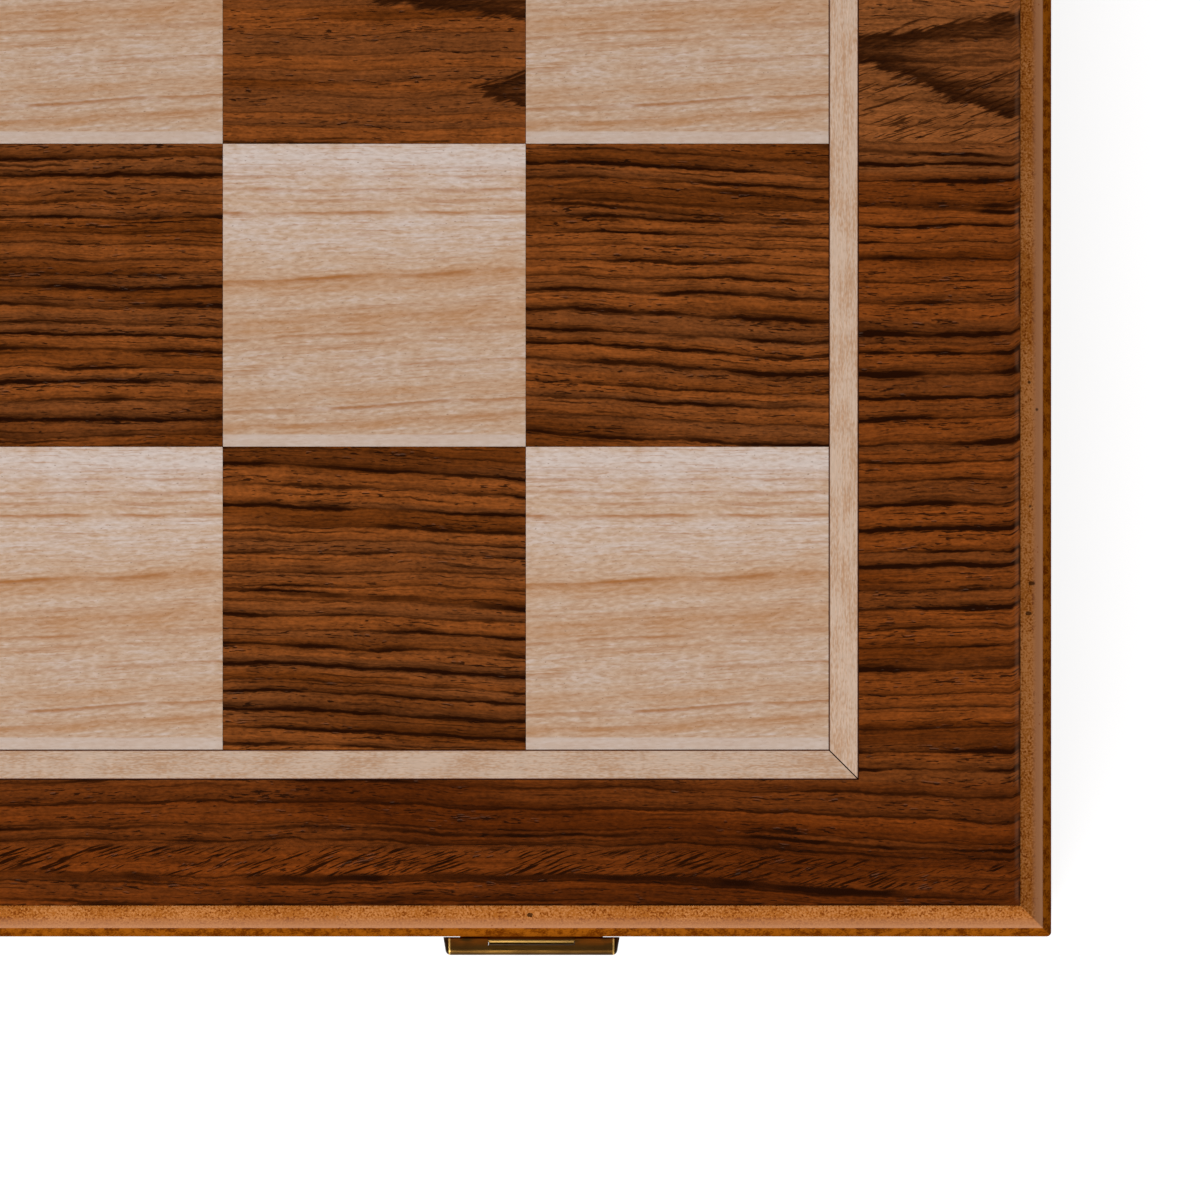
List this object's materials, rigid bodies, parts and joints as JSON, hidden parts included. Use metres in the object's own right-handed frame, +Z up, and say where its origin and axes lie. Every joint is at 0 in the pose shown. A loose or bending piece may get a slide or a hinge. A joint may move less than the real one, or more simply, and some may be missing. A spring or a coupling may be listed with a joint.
{
  "type": "folding chess and backgammon board",
  "caption": "Folding wooden games board: two hinged trays with a veneered chess board outside and inlaid backgammon points inside, shut by brass snap latches.",
  "frame": {"origin": "under the middle of the closed case, on the face it lies on", "axes": "+X along the hinge line, -Y towards the latches, +Z up through the closed case"},
  "size_m": [0.4794, 0.2447, 0.0542],
  "materials": {
    "stained_fibreboard": "stained and satin lacquered",
    "core_board": "raw fibreboard",
    "dark_veneer": "walnut veneer, satin lacquer",
    "pale_veneer": "ash veneer, satin lacquer",
    "stringing": "maple strip, satin lacquer",
    "field_veneer": "mahogany veneer, satin lacquer",
    "pale_point_veneer": "maple veneer, satin lacquer",
    "dark_point_veneer": "walnut veneer, satin lacquer",
    "screw_brass": "bright brass",
    "pin_brass": "drawn brass",
    "hinge_brass": "brushed brass",
    "antique_brass": "antiqued brass"
  },
  "bodies": {
    "lower_leaf": {"keeper_screws": "screw_brass", "left_hinge_lower_leaf": "hinge_brass", "left_hinge_pin": "pin_brass", "left_latch_keeper": "antique_brass", "lower_back_rail": "stained_fibreboard", "lower_border": "dark_veneer", "lower_dark_points": "dark_point_veneer", "lower_dark_squares": "dark_veneer", "lower_field": "field_veneer", "lower_front_line": "stringing", "lower_front_rail": "stained_fibreboard", "lower_hinge_screws": "screw_brass", "lower_left_line": "stringing", "lower_left_rail": "stained_fibreboard", "lower_pale_points": "pale_point_veneer", "lower_pale_squares": "pale_veneer", "lower_panel": "core_board", "lower_right_line": "stringing", "lower_right_rail": "stained_fibreboard", "right_hinge_lower_leaf": "hinge_brass", "right_hinge_pin": "pin_brass", "right_latch_keeper": "antique_brass"},
    "upper_leaf": {"latch_plate_screws": "screw_brass", "left_hinge_upper_leaf": "hinge_brass", "left_latch_plate": "antique_brass", "right_hinge_upper_leaf": "hinge_brass", "right_latch_plate": "antique_brass", "upper_back_rail": "stained_fibreboard", "upper_border": "dark_veneer", "upper_dark_points": "dark_point_veneer", "upper_dark_squares": "dark_veneer", "upper_field": "field_veneer", "upper_front_line": "stringing", "upper_front_rail": "stained_fibreboard", "upper_hinge_screws": "screw_brass", "upper_left_line": "stringing", "upper_left_rail": "stained_fibreboard", "upper_pale_points": "pale_point_veneer", "upper_pale_squares": "pale_veneer", "upper_panel": "core_board", "upper_right_line": "stringing", "upper_right_rail": "stained_fibreboard"},
    "left_hasp": {"left_latch_hasp": "antique_brass", "left_latch_pin": "pin_brass"},
    "right_hasp": {"right_latch_hasp": "antique_brass", "right_latch_pin": "pin_brass"}
  },
  "joints": [
    {"name": "fold", "type": "hinge", "parent": "lower_leaf", "child": "upper_leaf", "pos_m": [0, 0.1197, 0.0271], "axis": [-1, 0, 0], "range_deg": [0, 180]},
    {"name": "left_latch", "type": "hinge", "parent": "upper_leaf", "child": "left_hasp", "pos_m": [-0.1527, -0.1203, 0.0371], "axis": [-1, 0, 0], "range_deg": [-3, 90]},
    {"name": "right_latch", "type": "hinge", "parent": "upper_leaf", "child": "right_hasp", "pos_m": [0.1527, -0.1203, 0.0371], "axis": [-1, 0, 0], "range_deg": [-3, 90]}
  ]
}
